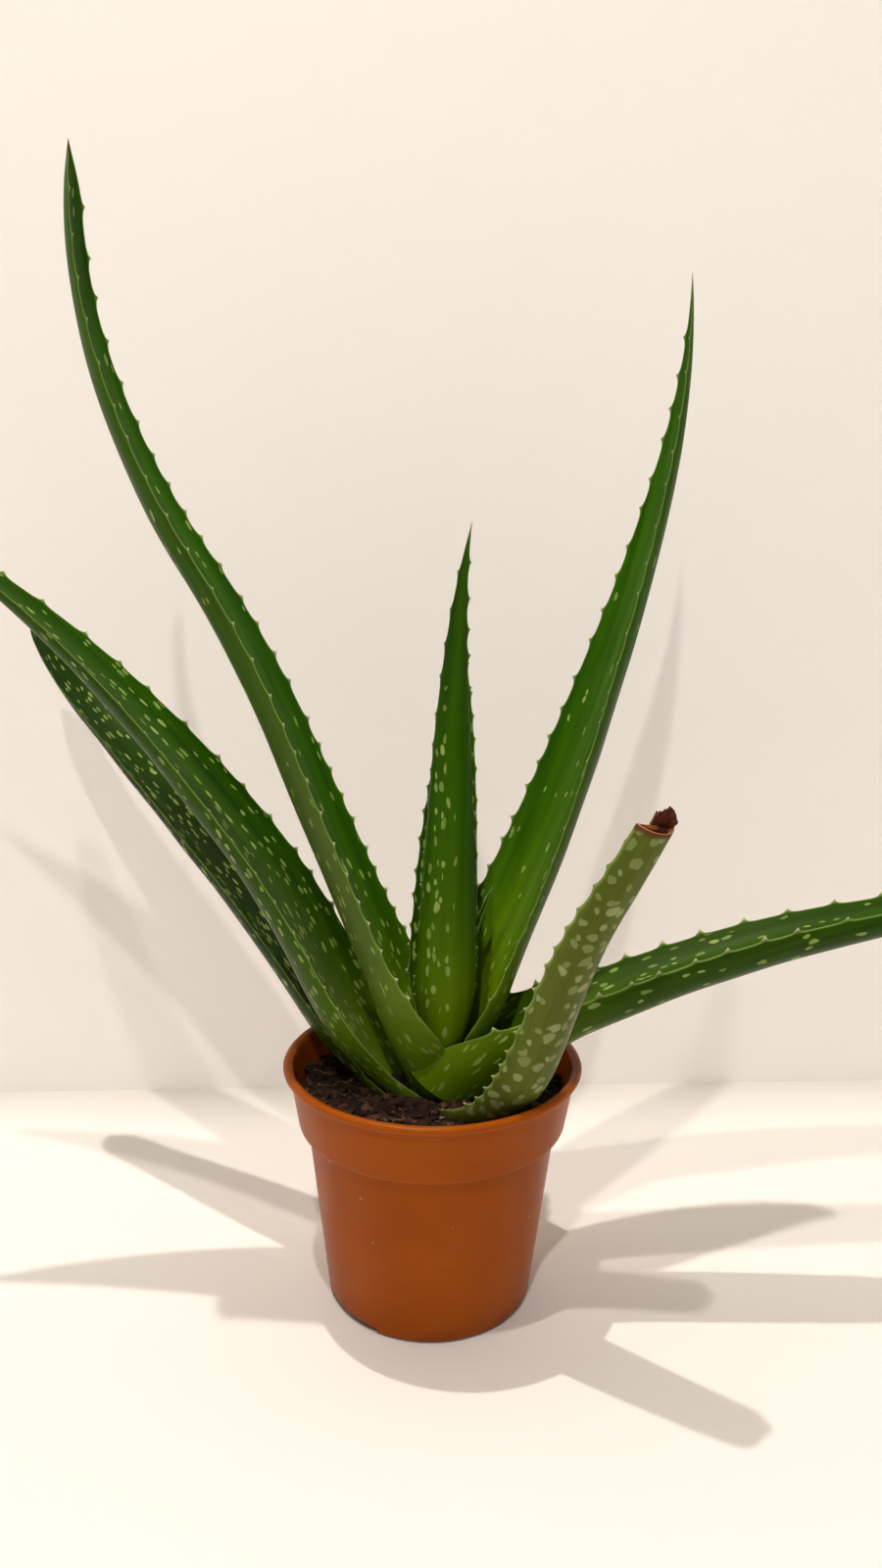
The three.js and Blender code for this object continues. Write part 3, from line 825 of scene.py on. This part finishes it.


# Some leaves' skins are kept darker: partly their own deeper green, partly painted shade where a
# leaf lies in shade, as the lowest one at the left does.
leaf_habits = {
    "leaf_bud": habit((1.0, 9, 30), speckled(0.2, 0.1, 50), golden(40, 0.5), lightness_and_shade=0.7),
    "leaf_centre_front": habit((1.4, 10, 40), speckled(0.1, 0.9, 45, -0.26, 0.34, 0.75),
                               golden(52, 0.95, 0.25), lightness_and_shade=0.85),
    "leaf_centre_back": habit((1.4, 10, 40), speckled(0.3, 0.3, 90), golden(40, 0.5), lightness_and_shade=0.75),
    "leaf_tall_right": habit((1.5, 13, 40), speckled(0.16, 0.03, 90), golden(64, 0.75, 0.2),
                             painted_sheen=0.5, wrap=31, swell=0.32),
    "leaf_tall_left": habit((1.6, 12, 42), speckled(0.5, 0.05, 100), golden(46, 0.9, 0.3),
                            painted_sheen=0.85, wrap=65),
    "leaf_low_right": habit((2.2, 14, 30), speckled(0.3, 0.15, 150), golden(50, 0.6, 0.2),
                            lightness_and_shade=0.62, painted_sheen=0.12, wrap=52, swell=0.37),
    "leaf_low_left": habit((1.6, 14, 45), speckled(0.5, 0.22, 120), golden(50, 0.6, 0.2),
                           lightness_and_shade=0.75, painted_sheen=0.15),
    "leaf_cut_front": habit((1.4, 8, 20), speckled(1.0, 0.85, 70), golden(26, 0.4),
                            painted_sheen=0.5, cut=True),
    "leaf_lowest_left": habit((1.5, 13, 45), speckled(0.45, 0.42, 150), golden(40, 0.4),
                              lightness_and_shade=0.36),
}
leaf_dice = random.Random(7)
leaf_ends = {}
for node, growth in leaf_habits.items():
    blade_name = "blade_" + node.removeprefix("leaf_")
    leaf, spots = build_leaf(node, blade_name, growth, leaf_dice)
    leaf_ends[node] = spots
    leaf.data.materials.append(spotted_skin if growth["cut"] else green_skin)
    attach(leaf, "root")
    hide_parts(node)


# ---------------------------------------------------------------- the dried flap
# A curl of thin, leathery brown skin that dried and stood up along the inner edge of the cut.
flap_height = 8 * MM
flap_columns = 13
flap_rows = 8
flap_thickness = 0.7 * MM
flap_bow = 1.3 * MM
flap_sink = 0.9 * MM
flap_dice = random.Random(12)
cut_rings = leaf_ends["leaf_cut_front"]
edge_row = -1 - len(cut_rows)
cut_edge = cut_rings[edge_row]
growing = Vector(unit(cut_edge.mean(0) - cut_rings[edge_row - 13].mean(0)))
flap_start, flap_end = Vector(cut_edge[leaf_columns + 15]), Vector(cut_edge[leaf_columns - 9])
middle_back, middle_front = cut_edge[leaf_columns // 2], cut_edge[-leaf_columns // 2]
inward = (Vector(middle_front) - Vector(middle_back)).normalized()
ragged = [flap_dice.uniform(0.82, 1.12) for _ in range(flap_columns + 1)]
flap_body = bmesh.new()
bmesh.ops.create_grid(flap_body, x_segments=flap_columns, y_segments=flap_rows, size=1)
for point in flap_body.verts:
    column = round((point.co.x + 1) / 2 * flap_columns)
    rise = (point.co.y + 1) / 2
    spread = column / flap_columns
    root = flap_start.lerp(flap_end, spread) + inward * flap_bow * math.sin(math.pi * spread)
    outline = math.sin(math.pi * (0.12 + 0.80 * spread)) ** 0.55
    height = flap_height * outline * ragged[column] * rise
    crease = noise.noise((spread * 7, rise * 3, 1.3)) * 0.9 * MM * rise
    point.co = root + growing * (height - flap_sink) + inward * crease
bmesh.ops.recalc_face_normals(flap_body, faces=flap_body.faces)
flap = finished("dried_cut_flap", flap_body)
skin_depth = flap.modifiers.new("skin_depth", "SOLIDIFY")
skin_depth.thickness = flap_thickness
skin_depth.offset = 0
skin_depth.use_even_offset = False
applied(flap)
flap.data.materials.append(peat("dried_flap", (0.050, 0.006, 0.0008), (0.15, 0.033, 0.008), 420))
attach(flap, "root")


# ---------------------------------------------------------------- the stage, lights and camera
# A pale table against a pale wall, under three small lamps and a soft room light that is
# brightest near the horizon. The wall glows faintly as painted light, most near the table, and
# can be seen from its front only.
wall_turn = math.radians(3.7)
wall_place = (0, 0.176, 0.89)
wall_flatness = 0.3
table_body = bmesh.new()
bmesh.ops.create_grid(table_body, x_segments=2, y_segments=2, size=3)
table = finished("pale_table", table_body)
wall_body = bmesh.new()
bmesh.ops.create_grid(wall_body, x_segments=2, y_segments=2, size=3)
upright = Matrix.Rotation(math.radians(90), 3, "X")
aside = Matrix.Rotation(wall_turn, 3, "Z")
bmesh.ops.rotate(wall_body, verts=wall_body.verts, cent=(0, 0, 0), matrix=upright)
bmesh.ops.scale(wall_body, verts=wall_body.verts, vec=(1, 1, wall_flatness))
bmesh.ops.rotate(wall_body, verts=wall_body.verts, cent=(0, 0, 0), matrix=aside)
bmesh.ops.translate(wall_body, verts=wall_body.verts, vec=wall_place)
wall = finished("pale_wall", wall_body)


def stage_paint(name, first, second, scale):
    """A matt painted board, very slightly uneven."""
    finish, tree, skin = paint(name)
    at = object_place(tree)
    mottle = grainy(tree, at, scale, 3)
    tree.links.new(blended(tree, mottle, first, second), skin.inputs["Base Color"])
    skin.inputs["Roughness"].default_value = 0.75
    return finish, tree, skin


table_finish, tree, skin = stage_paint("table_paint", (0.86, 0.80, 0.74), (0.88, 0.83, 0.78), 4)
table.data.materials.append(table_finish)
wall_finish, tree, skin = stage_paint("wall_paint_and_glow", (0.82, 0.77, 0.71), (0.84, 0.79, 0.74), 3)
height = height_on(tree, object_place(tree))
# Painted light: the wall glows faintly, strongest near the table and fading out higher up.
skin.inputs["Emission Color"].default_value = (1.0, 0.93, 0.84, 1)
tree.links.new(between(tree, height, 1.1, 0.45, 0.02, 0.20), skin.inputs["Emission Strength"])
see_through = wire(tree, "BsdfTransparent")
from_behind = wire(tree, "NewGeometry").outputs["Backfacing"]
one_way = wire(tree, "MixShader", {0: from_behind, 1: skin.outputs[0], 2: see_through.outputs[0]})
tree.links.new(one_way.outputs[0], tree.nodes["Material Output"].inputs["Surface"])
wall.data.materials.append(wall_finish)

room = bpy.data.worlds.new("room_light")
room.use_nodes = True
sky = room.node_tree.nodes["Background"]
sky.inputs["Color"].default_value = (1.0, 0.96, 0.93, 1)
upward = height_on(room.node_tree, wire(room.node_tree, "TexCoord").outputs["Generated"])
sky_strength = between(room.node_tree, upward, 0.55, 0.10, 0.09, 0.42)
room.node_tree.links.new(sky_strength, sky.inputs["Strength"])
bpy.context.scene.world = room

lamp_colour = (1.0, 0.96, 0.91)
for lamp_name, spot, power, size in (
    ("lamp_over", (-0.417, 0.156, 2.761), 140, 0.022),
    ("lamp_left", (-0.201, -0.458, 1.786), 34, 0.02),
    ("lamp_front", (-0.118, -0.951, 1.470), 30, 0.02),
):
    lamp = bpy.data.lights.new(lamp_name, "POINT")
    lamp.energy = power
    lamp.shadow_soft_size = size
    lamp.color = lamp_colour
    lamp_object = bpy.data.objects.new(lamp_name, lamp)
    lamp_object.location = spot
    bpy.context.collection.objects.link(lamp_object)

lens = bpy.data.cameras.new("camera")
lens.lens = 27
lens.sensor_width = 36
lens.clip_start = 0.01
camera = bpy.data.objects.new("camera", lens)
camera_place = (0.0016, -0.4431, 0.3097)
pitch = math.radians(12.18)
roll = math.radians(0.94)
forward = Vector((0, math.cos(pitch), -math.sin(pitch)))
level = Vector((1, 0, 0))
over = Vector((0, math.sin(pitch), math.cos(pitch)))
right = level * math.cos(roll) + over * math.sin(roll)
over = over * math.cos(roll) - level * math.sin(roll)
aim = Matrix((right, over, -forward)).transposed().to_4x4()
aim.translation = camera_place
camera.matrix_world = aim
bpy.context.collection.objects.link(camera)
bpy.context.scene.camera = camera
bpy.context.scene.view_settings.view_transform = "Standard"
